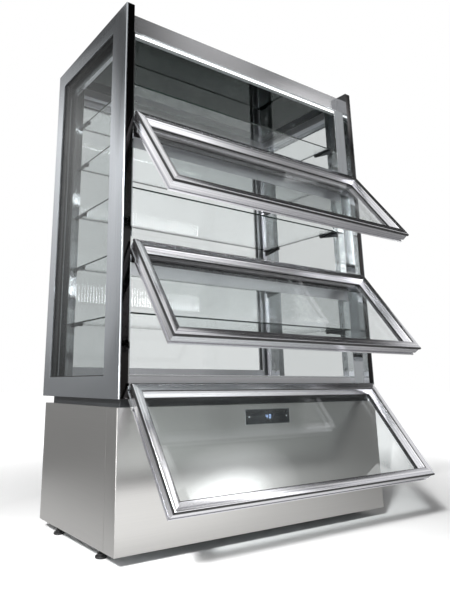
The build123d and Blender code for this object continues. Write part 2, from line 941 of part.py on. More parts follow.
def compressor_mounts():
    reach_x = compressor_plate_width / 2 - mount_radius
    reach_y = compressor_plate_depth / 2 - mount_radius
    spots = [(x, y) for x in about(compressor_x, reach_x) for y in about(compressor_y, reach_y)]
    return [rod((x, y, floor_inside), (x, y, plate_foot), mount_radius) for x, y in spots]


def drain_pan():
    x = about(pan_x, pan_width / 2)
    y = about(pan_y, pan_depth / 2)
    z = (floor_inside, floor_inside + pan_height)
    return block(x, y, z) - block(grown(x, -sheet), grown(y, -sheet), (z[0] + sheet, z[1] + overcut))


def pipe(points, radius):
    path = FilletPolyline(*points, radius=pipe_bend)
    run = Vector(*points[1]) - Vector(*points[0])
    return sweep(Plane(origin=points[0], z_dir=run) * Circle(radius), path=path)


# Discharge line to the coil, liquid line from it to the tub, suction line and drain
def pipes():
    port = can_top - compressor_dome - 2 * pipe_radius
    coil_side = condenser_x + condenser_width / 2 + coil_end
    discharge_y = condenser_y[1] - pipe_inset
    liquid_y = condenser_y[0] + pipe_inset
    liquid_level = condenser_z[0] + 2 * pipe_bend
    riser_x = coil_side + 3 * pipe_bend
    discharge = pipe([
        (compressor_x, compressor_y + compressor_radius, port), (compressor_x, discharge_y, port),
        (coil_side, discharge_y, port)
    ], pipe_radius)
    liquid = pipe([
        (coil_side, liquid_y, liquid_level), (riser_x, liquid_y, liquid_level),
        (riser_x, liquid_y, tub_floor_level)
    ], pipe_radius)
    suction_top = (compressor_x, compressor_y, tub_floor_level)
    suction = rod((compressor_x, compressor_y, can_top), suction_top, suction_radius)
    drain_foot = (pan_x, pan_y, floor_inside + pan_height - drain_dip)
    return [discharge, liquid, suction, rod(drain_foot, (pan_x, pan_y, tub_floor_level), drain_radius)]


os.makedirs("parts", exist_ok=True)

save("side_frame_right", [side_frame()])
save("side_frame_left", [mirror(side_frame(), about=Plane.YZ)])
save("side_glass", both_sides(side_panes()))
save("glass_spacers", both_sides([side_spacer()]) + [rear_spacer()])
save("side_linings", both_sides([side_lining()]))
save("front_fins", both_sides(fin()))
save("front_posts", both_sides([front_post()]))
standards = [standard(front_standard, ceiling_level), standard(rear_standard, head_rail_z[0])]
save("shelf_standards", both_sides(standards))
save("head_rails", head_rails())
save("transoms", [transom(level) for level in pivot_levels[1:]])
save("front_rails", [sill()] + [transom_lip(level) for level in pivot_levels[1:]])
save("rear_frame", rear_frame())
save("rear_sash", [rear_sash()])
save("rear_glass", rear_panes())
save("roof_panel", [roof_panel()])
save("ceiling_panel", [ceiling_panel()])
save("fascia", [fascia()])
save("light_bar", [light_bar()] + [light_strip(level) for level in pivot_levels[1:]])
save("glass_shelves", [shelf(level) for level in shelf_levels])
save("shelf_arms", [piece for level in shelf_levels for piece in shelf_arms(level)])
save("deck", [deck()])

for flap, level in zip(("lower", "middle", "upper"), pivot_levels):
    pieces = {"frame": flap_frame(), "glass": flap_panes(), "gasket": flap_gasket(), "seal": flap_seal()}
    pieces["hinges"] = both_sides([hinge_strap()])
    for piece, shapes in pieces.items():
        save(f"{flap}_flap_{piece}", [opened(shape, level) for shape in shapes])

save("base_front_panel", [front_panel()])
save("base_side_panels", both_sides([side_panel()]))
save("base_rear_grille", [rear_grille()])
save("base_tray", [base_tray()])
save("base_cover", [base_cover()])
save("neck", [neck()])
save("levelling_feet", feet())
save("cable_gland", [cable_gland()])
save("control_panel", [control_panel()])
save("control_display", [control_display()])

save("cold_tub", [tub()])
save("evaporator_coil", coil(coil_width, coil_y, coil_z, coil_fin_count, coil_row_count))
save("evaporator_fan_plate", [fan_plate()])
save("evaporator_fan_motors", [evaporator_place(x) * motor(evaporator_fan_radius) for x in fan_places])
evaporator_rotor = rotor(evaporator_fan_radius, evaporator_hub_radius, evaporator_blade_chord)
for end, x in zip(("left", "right"), fan_places):
    save(f"evaporator_rotor_{end}", [evaporator_place(x) * evaporator_rotor])

condenser = coil(condenser_width, condenser_y, condenser_z, condenser_fin_count, condenser_row_count)
save("condenser_coil", [Pos(condenser_x, 0, 0) * piece for piece in condenser])
save("condenser_shroud", condenser_shroud())
save("condenser_fan_motor", [condenser_place * motor(condenser_fan_radius)])
condenser_rotor = rotor(condenser_fan_radius, condenser_hub_radius, condenser_blade_chord)
save("condenser_rotor", [condenser_place * condenser_rotor])
save("compressor", [compressor()])
save("compressor_mounts", compressor_mounts())
save("drain_pan", [drain_pan()])
save("refrigerant_pipes", pipes())
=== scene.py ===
import json
import math
import bmesh
import bpy
import numpy
from mathutils import Matrix, Vector

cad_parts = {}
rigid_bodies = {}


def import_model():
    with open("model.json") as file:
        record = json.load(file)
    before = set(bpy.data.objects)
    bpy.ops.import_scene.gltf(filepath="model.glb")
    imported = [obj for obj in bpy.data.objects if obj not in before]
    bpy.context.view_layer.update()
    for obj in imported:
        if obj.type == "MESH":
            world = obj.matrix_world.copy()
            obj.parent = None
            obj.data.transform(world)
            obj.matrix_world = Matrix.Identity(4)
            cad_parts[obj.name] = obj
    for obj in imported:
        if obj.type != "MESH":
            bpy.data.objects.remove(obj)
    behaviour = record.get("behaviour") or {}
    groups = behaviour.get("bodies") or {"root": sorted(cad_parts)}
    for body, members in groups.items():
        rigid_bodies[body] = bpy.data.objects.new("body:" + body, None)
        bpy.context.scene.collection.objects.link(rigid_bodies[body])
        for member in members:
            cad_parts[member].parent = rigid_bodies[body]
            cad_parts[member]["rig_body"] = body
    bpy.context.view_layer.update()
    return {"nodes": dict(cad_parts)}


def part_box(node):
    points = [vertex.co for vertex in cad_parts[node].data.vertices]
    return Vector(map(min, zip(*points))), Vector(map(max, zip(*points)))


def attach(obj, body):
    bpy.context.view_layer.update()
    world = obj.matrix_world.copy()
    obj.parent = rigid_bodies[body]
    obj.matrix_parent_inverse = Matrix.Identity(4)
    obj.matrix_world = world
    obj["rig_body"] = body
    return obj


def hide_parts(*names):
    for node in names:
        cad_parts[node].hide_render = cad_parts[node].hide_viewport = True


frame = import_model()
print("frame loaded")

mm = 0.001
sideways, backwards, upwards = Vector((1, 0, 0)), Vector((0, 1, 0)), Vector((0, 0, 1))


# Camera: fitted to the straight edges in the photograph, image taken as 450 by 594
cameraPlace = {
    "spot": (-1.4649, -1.7502, 0.5325), "heading": 33.54, "pitch": 14.02,
    "lens": 33.43, "sensor": 36, "shift": (0.0909, -0.0872),
}


def makeCamera(place):
    data = bpy.data.cameras.new("camera")
    data.sensor_fit = "VERTICAL"
    data.sensor_height = place["sensor"]
    data.lens = place["lens"]
    data.shift_x, data.shift_y = place["shift"]
    camera = bpy.data.objects.new("camera", data)
    camera.location = place["spot"]
    camera.rotation_euler = (math.radians(90 + place["pitch"]), 0, math.radians(-place["heading"]))
    bpy.context.scene.collection.objects.link(camera)
    bpy.context.scene.camera = camera


makeCamera(cameraPlace)
bpy.context.scene.view_settings.view_transform = "Standard"
bpy.context.scene.cycles.transparent_max_bounces = 48  # eleven panes can stand one behind another
print("camera placed")


white = (1, 1, 1, 1)


# Colours are written as sRGB hex and turned to linear here
def linear(hexColour):
    parts = [int(hexColour[n:n + 2], 16) / 255 for n in (1, 3, 5)]
    return tuple(p / 12.92 if p <= 0.04045 else ((p + 0.055) / 1.055) ** 2.4 for p in parts) + (1,)


def feed(tree, node, inputs):
    for name, value in inputs.items():
        if isinstance(value, bpy.types.NodeSocket):
            tree.links.new(value, node.inputs[name])
        else:
            node.inputs[name].default_value = value


def addNode(tree, kind, inputs={}, **settings):
    node = tree.nodes.new(kind)
    for name, value in settings.items():
        setattr(node, name, value)
    feed(tree, node, inputs)
    return node


def startMaterial(name, inputs={}):
    material = bpy.data.materials.new(name)
    material.use_nodes = True
    tree = material.node_tree
    shader = tree.nodes["Principled BSDF"]
    feed(tree, shader, inputs)
    return material, tree, shader


# Sizes of the patterns in mm, and the values between which nearly all of a noise lies
cloudWidth, dustPatch, bumpDepth = 180, 90, 0.1
noiseLow, noiseHigh = 0.3, 0.7


def toneBetween(tree, factor, dark, light, reach=(noiseLow, noiseHigh)):
    ramp = addNode(tree, "ShaderNodeValToRGB", {"Fac": factor})
    for element, position, colour in zip(ramp.color_ramp.elements, reach, (dark, light)):
        element.position = position
        element.color = linear(colour)
    return ramp.outputs["Color"]


# Ground or drawn metal: streaks that run along each bar or sheet, and broad faint clouds.
# Real grain is under 0.2 mm, too fine for the render, so it is drawn a few millimetres wide.
# In the colour the streaks are grain, and on the polished finishes they are also painted reflections
def brushedMetal(name, settings):
    rough, spread = settings["roughness"], settings.get("spread", 0.08)
    material, tree, shader = startMaterial(name, {"Metallic": 1})
    place = addNode(tree, "ShaderNodeTexCoord")
    own = addNode(tree, "ShaderNodeAttribute", attribute_name="grain")
    across = 1 / (settings["width"] * mm)
    stretch = (1 / (settings["length"] * mm), across, across)
    stretched = {0: own.outputs["Vector"], 1: stretch}
    streaked = addNode(tree, "ShaderNodeVectorMath", stretched, operation="MULTIPLY")
    streaks = addNode(tree, "ShaderNodeTexNoise", {
        "Vector": streaked.outputs["Vector"], "Scale": 1, "Detail": 5, "Roughness": 0.65,
    })
    clouds = addNode(tree, "ShaderNodeTexNoise", {
        "Vector": place.outputs["Object"], "Scale": 1 / (cloudWidth * mm), "Detail": 3,
    })
    both = addNode(tree, "ShaderNodeMix", {
        "Factor": settings["cloud"], "A": streaks.outputs["Fac"], "B": clouds.outputs["Fac"],
    })
    polish = addNode(tree, "ShaderNodeMapRange", {
        "Value": both.outputs["Result"], "From Min": noiseLow, "From Max": noiseHigh,
        "To Min": rough * (1 - spread), "To Max": rough * (1 + spread),
    })
    bump = addNode(tree, "ShaderNodeBump", {
        "Height": streaks.outputs["Fac"], "Strength": settings["bump"], "Distance": bumpDepth * mm,
    })
    # colour from the streaks and clouds: grain, and on polished finishes painted reflections too
    tone = toneBetween(tree, both.outputs["Result"], settings["dark"], settings["light"])
    feed(tree, shader, {
        "Base Color": tone, "Roughness": polish.outputs["Result"], "Normal": bump.outputs["Normal"],
    })
    return material


# Moulded, coated or cast surface: fine grit in colour and roughness, and a faint bump
def grittySurface(name, settings, more={}):
    rough = settings["roughness"]
    material, tree, shader = startMaterial(name, more)
    place = addNode(tree, "ShaderNodeTexCoord")
    grit = addNode(tree, "ShaderNodeTexNoise", {
        "Vector": place.outputs["Object"], "Scale": 1 / (settings["grit"] * mm), "Detail": 4,
    })
    wear = addNode(tree, "ShaderNodeTexNoise", {
        "Vector": place.outputs["Object"], "Scale": 1 / (settings["patch"] * mm), "Detail": 5,
    })
    both = addNode(tree, "ShaderNodeMix", {
        "Factor": 0.5, "A": grit.outputs["Fac"], "B": wear.outputs["Fac"],
    })
    polish = addNode(tree, "ShaderNodeMapRange", {
        "Value": wear.outputs["Fac"], "From Min": noiseLow, "From Max": noiseHigh,
        "To Min": rough * 0.8, "To Max": rough * 1.25,
    })
    bump = addNode(tree, "ShaderNodeBump", {
        "Height": grit.outputs["Fac"], "Strength": settings["bump"], "Distance": bumpDepth * mm,
    })
    tone = toneBetween(tree, both.outputs["Result"], settings["dark"], settings["light"], (0.4, 0.6))
    feed(tree, shader, {
        "Base Color": tone, "Roughness": polish.outputs["Result"], "Normal": bump.outputs["Normal"],
    })
    return material


# Hot-dip zinc: large angular spangles that each catch the light differently
def galvanisedSteel(name, settings):
    material, tree, shader = startMaterial(name, {"Metallic": 0.85})
    place = addNode(tree, "ShaderNodeTexCoord")
    spangle = addNode(tree, "ShaderNodeTexVoronoi", {
        "Vector": place.outputs["Object"], "Scale": 1 / (settings["spangle"] * mm), "Randomness": 1,
    })
    grey = addNode(tree, "ShaderNodeSeparateColor", {"Color": spangle.outputs["Color"]})
    rough = settings["roughness"]
    polish = addNode(tree, "ShaderNodeMapRange", {
        "Value": grey.outputs["Red"],
        "To Min": rough - settings["brighter"], "To Max": rough + settings["duller"],
    })
    tone = toneBetween(tree, grey.outputs["Red"], settings["dark"], settings["light"], (0, 1))
    feed(tree, shader, {"Base Color": tone, "Roughness": polish.outputs["Result"]})
    return material


# Float glass: see-through with a faint tint, and a mirror that grows towards grazing. From
# inside the glass the index is turned over, so that both faces of a pane mirror alike
def floatGlass(name, settings):
    material, tree, shader = startMaterial(name)
    tree.nodes.remove(shader)
    place = addNode(tree, "ShaderNodeTexCoord")
    dust = addNode(tree, "ShaderNodeTexNoise", {
        "Vector": place.outputs["Object"], "Scale": 1 / (dustPatch * mm), "Detail": 6,
    })
    haze = addNode(tree, "ShaderNodeMapRange", {
        "Value": dust.outputs["Fac"], "From Min": 0.4, "From Max": 0.7, "To Max": settings["haze"],
    })
    facing = addNode(tree, "ShaderNodeNewGeometry")
    index = addNode(tree, "ShaderNodeMix", {
        "Factor": facing.outputs["Backfacing"], "A": settings["ior"], "B": 1 / settings["ior"],
    })
    mirror = addNode(tree, "ShaderNodeFresnel", {"IOR": index.outputs["Result"]})
    clear = addNode(tree, "ShaderNodeBsdfTransparent", {"Color": linear(settings["tint"])})
    shine = addNode(tree, "ShaderNodeBsdfGlossy", {"Color": white, "Roughness": haze.outputs["Result"]})
    face = addNode(tree, "ShaderNodeMixShader", {
        0: mirror.outputs["Fac"], 1: clear.outputs["BSDF"], 2: shine.outputs["BSDF"],
    })
    feed(tree, tree.nodes["Material Output"], {"Surface": face.outputs["Shader"]})
    return material


# A lit face: brighter at the middle of each cell than at its rim
def glowing(name, settings):
    material, tree, shader = startMaterial(name, {
        "Roughness": 0.35, "Base Color": linear(settings["body"]), "Emission Strength": settings["strength"],
    })
    place = addNode(tree, "ShaderNodeTexCoord")
    grains = addNode(tree, "ShaderNodeTexNoise", {
        "Vector": place.outputs["Object"], "Scale": 1 / (settings["grain"] * mm), "Detail": 2,
    })
    tone = toneBetween(tree, grains.outputs["Fac"], settings["rim"], settings["glow"], (0.35, 0.6))
    feed(tree, shader, {"Emission Color": tone})
    return material


# Stainless sheet, belt ground: fine upright streaks, cool grey, soft stretched highlights
satinStainless = brushedMetal("satinStainless", {
    "dark": "#adb1b6", "light": "#bcc0c4", "roughness": 0.24,
    "length": 500, "width": 1.5, "cloud": 0.2, "bump": 0.015,
})
# The same sheet on the base, a warmer melt with its grain level
groundCasing = brushedMetal("groundStainlessCasing", {
    "dark": "#bcbbb9", "light": "#c3c2c0", "roughness": 0.29,
    "length": 400, "width": 1, "cloud": 0.1, "bump": 0.004, "spread": 0.03,
})
# Bright annealed stainless inside the cabinet: nearly a mirror, with faint rolling lines
brightStainless = brushedMetal("brightStainless", {
    "dark": "#b4b6b8", "light": "#cdd0d2", "roughness": 0.11,
    "length": 600, "width": 3, "cloud": 0.3, "bump": 0.05,
})
# Stainless polished to a mirror: the posts pick up whatever stands beside them
mirrorStainless = brushedMetal("mirrorStainless", {
    "dark": "#cdcfd1", "light": "#dfe1e2", "roughness": 0.05,
    "length": 600, "width": 4, "cloud": 0.3, "bump": 0.02,
})
# The fins' broad faces: the same polish in a darker colour
darkMirror = brushedMetal("darkMirrorStainless", {
    "dark": "#a2a4a6", "light": "#b6b8ba", "roughness": 0.05,
    "length": 600, "width": 4, "cloud": 0.3, "bump": 0.02,
})
# Fascia sheet: stainless with a coarser grain along it, a shade darker than the sides
foldedFascia = brushedMetal("foldedFascia", {
    "dark": "#b4b4b6", "light": "#c4c4c6", "roughness": 0.24,
    "length": 700, "width": 2, "cloud": 0.2, "bump": 0.05,
})
# Drawn stainless channel, polished: mirrors whatever stands beside it, and the long light and dark streaks
# in its colour are painted reflections
polishedChannel = brushedMetal("polishedChannel", {
    "dark": "#8f9294", "light": "#c2c5c7", "roughness": 0.09,
    "length": 900, "width": 4, "cloud": 0.15, "bump": 0.15,
})
# Extruded aluminium, natural anodised: pale, faintly violet, die lines along each bar
anodisedAluminium = brushedMetal("anodisedAluminium", {
    "dark": "#cacace", "light": "#d9d9dc", "roughness": 0.3,
    "length": 900, "width": 1.6, "cloud": 0.2, "bump": 0.03,
})
# The flap profile: the same aluminium, with streaks along each bar for its ribs: the light ones are painted
# highlights on the crests, the darker ones painted shade between them
paintedRibShading = brushedMetal("paintedRibShading", {
    "dark": "#b2b2b8", "light": "#fafafc", "roughness": 0.2,
    "length": 3000, "width": 6, "cloud": 0.05, "bump": 0.08,
})
# Extruded aluminium, bright-dipped and dyed black: dark mirror
blackAnodised = brushedMetal("blackAnodised", {
    "dark": "#2b2a2b", "light": "#393737", "roughness": 0.10,
    "length": 900, "width": 5, "cloud": 0.4, "bump": 0.04,
})
# Ceiling sheet: stainless in a dark grey-green, nearly black, a mirror with upright grain
darkCeilingStainless = brushedMetal("darkCeilingStainless", {
    "dark": "#303433", "light": "#3e4241", "roughness": 0.03,
    "length": 300, "width": 2, "cloud": 0.4, "bump": 0.004,
})
# Fin stock: thin aluminium strip with a clear coat
finStock = brushedMetal("finStock", {
    "dark": "#a2a5a8", "light": "#c4c7ca", "roughness": 0.35,
    "length": 60, "width": 3, "cloud": 0.3, "bump": 0.1,
})
# Copper tube, drawn and handled: warm, with duller stretches
drawnCopper = brushedMetal("drawnCopper", {
    "dark": "#9c5b41", "light": "#cd8a66", "roughness": 0.3,
    "length": 120, "width": 4, "cloud": 0.6, "bump": 0.08,
})
# Steel screws, zinc plated: small and bright
zincPlated = brushedMetal("zincPlatedSteel", {
    "dark": "#a4a7aa", "light": "#cfd2d4", "roughness": 0.25,
    "length": 4, "width": 2, "cloud": 0.2, "bump": 0.05,
})
# Galvanised sheet, regular spangle about 9 mm across
galvanised = galvanisedSteel("galvanisedSheet", {
    "dark": "#9c9fa1", "light": "#b4b7b8", "roughness": 0.38, "spangle": 9, "brighter": 0.08, "duller": 0.1,
})
# Powder coat, satin black: fine orange peel
powderCoat = grittySurface("powderCoat", {
    "dark": "#1b1d1f", "light": "#27292b", "roughness": 0.4, "grit": 1.5, "patch": 90, "bump": 0.25,
})
# Nylon with glass, moulded black: slightly dull, a spark-eroded texture
mouldedNylon = grittySurface("mouldedNylon", {
    "dark": "#121212", "light": "#1d1d1e", "roughness": 0.45, "grit": 1, "patch": 30, "bump": 0.3,
})
# EPDM, extruded: matt black with a grey bloom
epdmRubber = grittySurface("epdmRubber", {
    "dark": "#0c0c0d", "light": "#1a1a1b", "roughness": 0.6, "grit": 1.2, "patch": 60, "bump": 0.2,
})
# Butyl and dark aluminium spacer between the panes
butylSpacer = grittySurface("butylSpacer", {
    "dark": "#0d0e0e", "light": "#17181a", "roughness": 0.5, "grit": 2, "patch": 60, "bump": 0.1,
})
# Polyester-coated steel over foam, pale grey
coatedSheet = grittySurface("coatedSheet", {
    "dark": "#c3c6c7", "light": "#d3d6d7", "roughness": 0.35, "grit": 3, "patch": 150, "bump": 0.08,
})
# Stoved enamel on the compressor can and motors: deep gloss black
stovedEnamel = grittySurface("stovedEnamel", {
    "dark": "#0f1012", "light": "#1c1d20", "roughness": 0.25, "grit": 4, "patch": 50, "bump": 0.1,
})
# Polypropylene, moulded: milky white
polypropylene = grittySurface("polypropylene", {
    "dark": "#cbcccc", "light": "#dedfdf", "roughness": 0.5, "grit": 2, "patch": 80, "bump": 0.1,
})
# Printed glass over the touch control: black from behind, full gloss
touchGlass = grittySurface("printedTouchGlass", {
    "dark": "#04060b", "light": "#080b12", "roughness": 0.05, "grit": 20, "patch": 60, "bump": 0.0,
}, {"Coat Weight": 1.0, "Coat Roughness": 0.02})
# Toughened soda-lime float: clear face on
sealedGlass = floatGlass("sealedFloatGlass", {"tint": "#fdfefe", "ior": 1.5, "haze": 0.01})
shelfGlass = floatGlass("toughenedShelfGlass", {"tint": "#fafbfb", "ior": 1.5, "haze": 0.01})
# The inner rear panes carry a heat-reflecting film: a shade greyer
filmedGlass = floatGlass("filmedGlass", {"tint": "#f5f6f6", "ior": 1.5, "haze": 0.01})
# The side units and the outer rear panes have a coating that takes most of the mirroring away
sideGlass = floatGlass("filmedSideGlass", {"tint": "#f1f2f2", "ior": 1.12, "haze": 0.01})
outerGlass = floatGlass("coatedOuterGlass", {"tint": "#f6f7f7", "ior": 1.1, "haze": 0.01})
# The cut edge of every pane, ground and polished: almost black, green where light gets in
glassEdge = grittySurface("polishedGlassEdge", {
    "dark": "#07100e", "light": "#12201b", "roughness": 0.2, "grit": 6, "patch": 200, "bump": 0.02,
}, {"Specular IOR Level": 0.2})
# Opal acrylic over the lamps: even white
opalAcrylic = glowing("opalAcrylic", {
    "body": "#e8eaea", "glow": "#ffffff", "rim": "#f2f6f8", "strength": 1.3, "grain": 14,
})
# Ribbed clear acrylic beside the lamps: grey, with a faint painted glow that stands for light caught in the
# ribs
ribbedAcrylic = glowing("ribbedAcrylic", {
    "body": "#808485", "glow": "#dfe4e6", "rim": "#8e9496", "strength": 0.05, "grain": 5,
})
# Yellow phosphor under a clear lens, alight: far brighter than what surrounds it
ledPhosphor = glowing("ledPhosphor", {
    "body": "#fff6df", "glow": "#ffffff", "rim": "#f4f9ff", "strength": 14, "grain": 3,
})
# The same lamps in the head bar, turned down behind their ribbed lens
dimPhosphor = glowing("dimmedPhosphor", {
    "body": "#94999b", "glow": "#f6f9fa", "rim": "#dfe6ea", "strength": 0.2, "grain": 3,
})
# Light behind the display's window: pale blue
displayLight = glowing("displayLight", {
    "body": "#20303f", "glow": "#bcd6ff", "rim": "#9fc4ff", "strength": 2.2, "grain": 2,
})
# White print beside the display, lit from behind: a soft dot
touchMark = glowing("touchMark", {
    "body": "#c8ccd0", "glow": "#eef3f8", "rim": "#dfe6ee", "strength": 0.7, "grain": 2,
})
panes = (sealedGlass, filmedGlass, sideGlass, shelfGlass)
print("materials made")


# Finished copies: a CAD node comes as loose triangles, one closed solid after another. Each
# solid is merged, its flat faces joined and its edges broken by the width given here in mm,
# and it gets a grain that runs along its longest way
flaps = ("lower", "middle", "upper")
finishes = {
    "side_frame_left": (satinStainless, 0.5), "side_frame_right": (satinStainless, 0.5),
    "front_fins": (blackAnodised, 0.8), "transoms": (blackAnodised, 0.8),
    "front_posts": (mirrorStainless, 0.8), "head_rails": (anodisedAluminium, 0.8),
    "front_rails": (anodisedAluminium, 0.5), "rear_frame": (anodisedAluminium, 0.8),
    "rear_sash": (anodisedAluminium, 0.8), "shelf_standards": (polishedChannel, 0.5),
    "side_linings": (brightStainless, 0.5), "fascia": (foldedFascia, 0.4), "deck": (brightStainless, 0.6),
    "ceiling_panel": (darkCeilingStainless, 0.5), "roof_panel": (galvanised, 0.4),
    "base_front_panel": (groundCasing, 0.3), "base_side_panels": (groundCasing, 0.3),
    "base_cover": (groundCasing, 0.3), "base_rear_grille": (groundCasing, 0.3),
    "base_tray": (galvanised, 0.3),
    "neck": (powderCoat, 1.0), "shelf_arms": (powderCoat, 0.6), "control_panel": (touchGlass, 0.5),
    "control_display": (touchGlass, 0.2), "cable_gland": (mouldedNylon, 0.6),
    "glass_spacers": (butylSpacer, 0.4), "side_glass": (sideGlass, 0.6), "rear_glass": (filmedGlass, 0.6),
    "glass_shelves": (shelfGlass, 0.8), "cold_tub": (coatedSheet, 1.5),
    "evaporator_coil": (finStock, 0), "condenser_coil": (finStock, 0),
    "evaporator_fan_plate": (galvanised, 0.3), "condenser_shroud": (galvanised, 0.3),
    "evaporator_fan_motors": (stovedEnamel, 0.6), "condenser_fan_motor": (stovedEnamel, 0.6),
    "evaporator_rotor_left": (mouldedNylon, 0.3), "evaporator_rotor_right": (mouldedNylon, 0.3),
    "condenser_rotor": (mouldedNylon, 0.3), "compressor": (stovedEnamel, 0.8),
    "compressor_mounts": (epdmRubber, 1.5), "drain_pan": (polypropylene, 0.5),
    "refrigerant_pipes": (drawnCopper, 0),
}
for flap in flaps:
    # the flap frames carry the painted rib highlights and shade
    finishes[f"{flap}_flap_frame"] = (paintedRibShading, 0.25)
    finishes[f"{flap}_flap_glass"] = (sealedGlass, 0.6)
    finishes[f"{flap}_flap_gasket"] = (epdmRubber, 0.3)
    finishes[f"{flap}_flap_seal"] = (epdmRubber, 0.6)
    finishes[f"{flap}_flap_hinges"] = (brightStainless, 0.4)


# A solid is closed once each of its edges has been met from both sides
def closedSolids(mesh):
    spots = [tuple(round(c, 6) for c in vertex.co) for vertex in mesh.vertices]
    solids, faces, openEdges = [], [], {}
    for polygon in mesh.polygons:
        corners = [spots[n] for n in polygon.vertices]
        faces.append(corners)
        for edge in zip(corners, corners[1:] + corners[:1]):
            back = (edge[1], edge[0])
            if edge[0] == edge[1]:
                continue
            if openEdges.get(back, 0) > 0:
                openEdges[back] -= 1
                if not openEdges[back]:
                    del openEdges[back]
            else:
                openEdges[edge] = openEdges.get(edge, 0) + 1
        if not openEdges:
            solids.append(faces)
            faces = []
    return solids


def extent(faces):
    spots = numpy.array([spot for face in faces for spot in face])
    return Vector(spots.min(axis=0)), Vector(spots.max(axis=0))


def pointsOf(mesh):
    spots = numpy.empty(len(mesh.vertices) * 3)
    mesh.vertices.foreach_get("co", spots)
    return spots.reshape(-1, 3)


# The three ways of a solid, longest first. An open flap leans, and its pieces lean with it
flapLean = math.radians(144)


def longWays(spots, leans):
    turn = flapLean if leans else 0
    cos, sin = math.cos(turn), math.sin(turn)
    ways = numpy.array(((1, 0, 0), (0, cos, sin), (0, -sin, cos)))
    spans = numpy.ptp(spots @ ways.T, axis=0)
    return (spots.max(axis=0) + spots.min(axis=0)) / 2, ways[numpy.argsort(-spans)].T


flatEnough, sharpFrom, brokenFrom = [math.radians(angle) for angle in (0.5, 20, 30)]


def mergedSolid(faces):
    spots = sorted({spot for face in faces for spot in face})
    place = {spot: n for n, spot in enumerate(spots)}
    mesh = bpy.data.meshes.new("solid")
    corners = [[place[spot] for spot in face] for face in faces if len(set(face)) == len(face)]
    mesh.from_pydata(spots, [], corners)
    form = bmesh.new()
    form.from_mesh(mesh)
    bmesh.ops.dissolve_limit(form, angle_limit=flatEnough, verts=form.verts, edges=form.edges)
    form.to_mesh(mesh)
    form.free()
    return mesh


# The plain mesh that a carrier's modifier makes
def collected(carrier):
    bpy.context.scene.collection.objects.link(carrier)
    bpy.context.view_layer.update()
    result = bpy.data.meshes.new_from_object(carrier.evaluated_get(bpy.context.evaluated_depsgraph_get()))
    bpy.data.objects.remove(carrier)
    return result


def edgeBroken(mesh, width):
    if not width:
        return mesh
    carrier = bpy.data.objects.new("edgeBroken", mesh)
    bevel = carrier.modifiers.new("bevel", "BEVEL")
    bevel.width, bevel.segments = width * mm, 2
    bevel.limit_method, bevel.angle_limit = "ANGLE", brokenFrom
    return collected(carrier)


def joinMeshes(name, meshes):
    form = bmesh.new()
    for mesh in meshes:
        form.from_mesh(mesh)
    whole = bpy.data.meshes.new(name)
    form.to_mesh(whole)
    form.free()
    return whole


# Where a point lies on its own solid: along it, across it and through it. Each next solid of
# a node is shifted, so that its streaks differ
grainShift = numpy.array((0.37, 0.11, 0))


def giveGrain(mesh, count, leans=False):
    spots = pointsOf(mesh)
    middle, ways = longWays(spots, leans)
    own = (spots - middle) @ ways + grainShift * count
    grain = mesh.attributes.new("grain", "FLOAT_VECTOR", "POINT")
    grain.data.foreach_set("vector", own.ravel())
    return ways[:, 2]


def addPiece(name, mesh, body, materials=()):
    for material in materials:
        mesh.materials.append(material)
    mesh.polygons.foreach_set("use_smooth", [True] * len(mesh.polygons))
    mesh.set_sharp_from_angle(angle=sharpFrom)
    piece = bpy.data.objects.new(name, mesh)
    bpy.context.scene.collection.objects.link(piece)
    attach(piece, body)
    return piece


# Some faces of a node take another finish: the cut edges of a pane, the outer panes of the
# rear unit, and the sides of the fins, which are polished where the rest of the bar is dyed
otherFinishes = {"front_fins": darkMirror, "rear_glass": outerGlass}
rearMiddle = sum(corner.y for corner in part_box("rear_glass")) / 2
squareOn = 0.99  # how near a face's normal is to the way it looks


def sortFaces(mesh, node, isPane, thin):
    for polygon in mesh.polygons:
        if isPane:
            isOuter = node == "rear_glass" and polygon.center.y > rearMiddle
            isBroad = abs(polygon.normal.dot(thin)) > squareOn
            polygon.material_index = (2 if isOuter else 0) if isBroad else 1
        elif node in otherFinishes:
            polygon.material_index = 1 if abs(polygon.normal.x) > squareOn else 0


def finishNode(node, material, width):
    source = frame["nodes"][node]
    isPane = material in panes
    solids = []
    for count, faces in enumerate(closedSolids(source.data)):
        mesh = edgeBroken(mergedSolid(faces), width)
        thin = Vector(giveGrain(mesh, count, "_flap_" in node))
        sortFaces(mesh, node, isPane, thin)
        solids.append(mesh)
    words = node.split("_")
    name = words[0] + "".join(word.capitalize() for word in words[1:])
    materials = [material] + [glassEdge] * isPane
    if node in otherFinishes:
        materials.append(otherFinishes[node])
    body, slotName = source["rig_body"], source.data.materials[0].name
    piece = addPiece(name, joinMeshes(name, solids), body, materials)
    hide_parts(node)


for node, (material, width) in finishes.items():
    finishNode(node, material, width)
print("solids finished")


# A skin over loops of points, closed at both ends or from the last loop back to the first
def rings(loops, closedLoop=False):
    mesh = bpy.data.meshes.new("rings")
    form = bmesh.new()
    made = [[form.verts.new(spot) for spot in loop] for loop in loops]
    following = made[1:] + made[:1] if closedLoop else made[1:]
    for first, second in zip(made, following):
        for n in range(len(first)):
            m = (n + 1) % len(first)
            form.faces.new((first[n], first[m], second[m], second[n]))
    if not closedLoop:
        form.faces.new(made[0])
        form.faces.new(made[-1])
    bmesh.ops.recalc_face_normals(form, faces=form.faces)
    form.to_mesh(mesh)
    form.free()
    return mesh


# Turned piece about Z, from (radius, height) pairs
def turned(outline, sides):
    turns = [2 * math.pi * n / sides for n in range(sides)]
    return rings([
        [(radius * math.cos(turn) * mm, radius * math.sin(turn) * mm, height * mm) for turn in turns]
        for radius, height in outline
    ])


